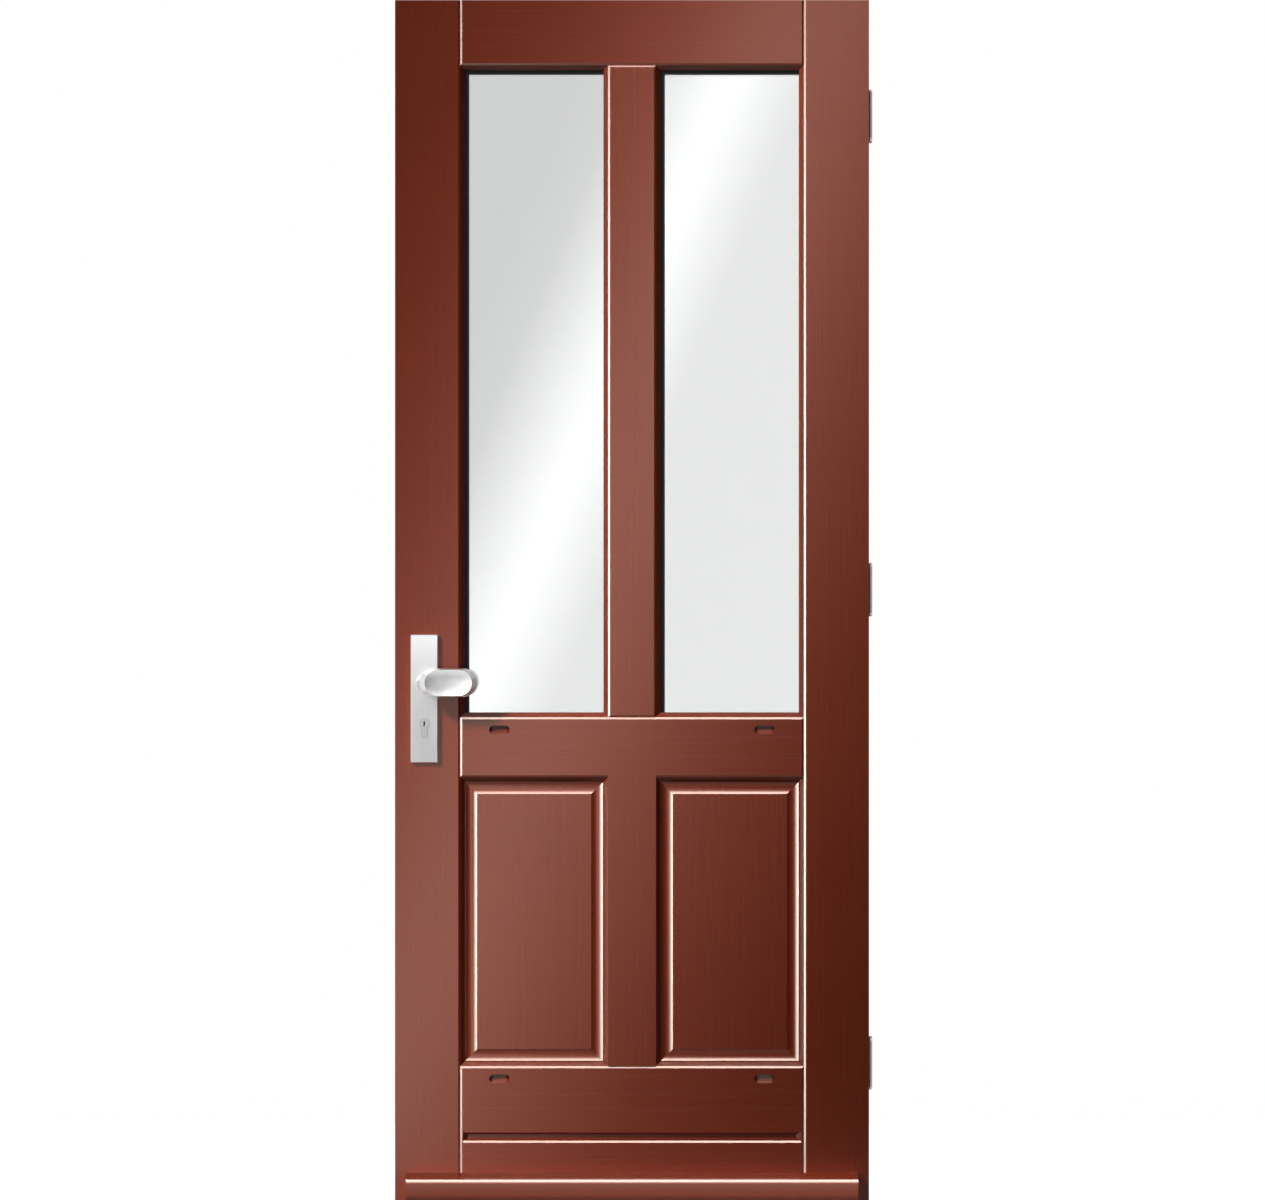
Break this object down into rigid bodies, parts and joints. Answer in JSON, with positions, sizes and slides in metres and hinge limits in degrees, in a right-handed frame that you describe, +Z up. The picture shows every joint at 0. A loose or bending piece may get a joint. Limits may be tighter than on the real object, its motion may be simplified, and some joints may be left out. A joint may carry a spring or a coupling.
{
  "type": "wooden front door leaf",
  "caption": "Red-brown painted wooden front door leaf with tall double-glazed panes over scooped panels, a weatherboard, an offset oval knob and butt hinges; it opens inward.",
  "frame": {"origin": "on the back of the lowest frame-side hinge flap, halfway up the flap and in the middle plane of the leaf", "axes": "+X out of the flap's back into the jamb on the hinge side, +Y into the house, +Z up"},
  "size_m": [0.838, 0.1808, 2.115],
  "materials": {
    "paint": "satin",
    "glass": "gloss",
    "seal": "matte",
    "spacer": "matte",
    "furniture": "satin",
    "cylinder": "satin",
    "lock_steel": "satin",
    "hinge_steel": "satin"
  },
  "bodies": {
    "frame_side": {"bottom_hinge_frame_leaf": "hinge_steel", "middle_hinge_frame_leaf": "hinge_steel", "top_hinge_frame_leaf": "hinge_steel", "bottom_hinge_pin": "hinge_steel", "middle_hinge_pin": "hinge_steel", "top_hinge_pin": "hinge_steel"},
    "leaf": {"lock_stile": "paint", "hinge_stile": "paint", "top_rail": "paint", "lock_rail": "paint", "bottom_rail": "paint", "glazing_mullion": "paint", "panel_muntin": "paint", "left_panel": "paint", "right_panel": "paint", "weatherboard": "paint", "left_pane_beads": "paint", "right_pane_beads": "paint", "left_panel_beads": "paint", "right_panel_beads": "paint", "left_outer_pane": "glass", "left_inner_pane": "glass", "right_outer_pane": "glass", "right_inner_pane": "glass", "left_glazing_tape": "seal", "right_glazing_tape": "seal", "left_glass_spacer": "spacer", "right_glass_spacer": "spacer", "outside_plate": "furniture", "outside_knob": "furniture", "inside_plate": "furniture", "inside_lever": "furniture", "lock_cylinder": "cylinder", "mortise_lock": "lock_steel", "latch_bolt": "lock_steel", "dead_bolt": "lock_steel", "bottom_hinge_door_leaf": "hinge_steel", "middle_hinge_door_leaf": "hinge_steel", "top_hinge_door_leaf": "hinge_steel"}
  },
  "joints": [
    {"name": "leaf_swing", "type": "hinge", "parent": "frame_side", "child": "leaf", "pos_m": [-0.0045, 0.0345, 0], "axis": [0, 0, -1], "range_deg": [0, 110]}
  ]
}
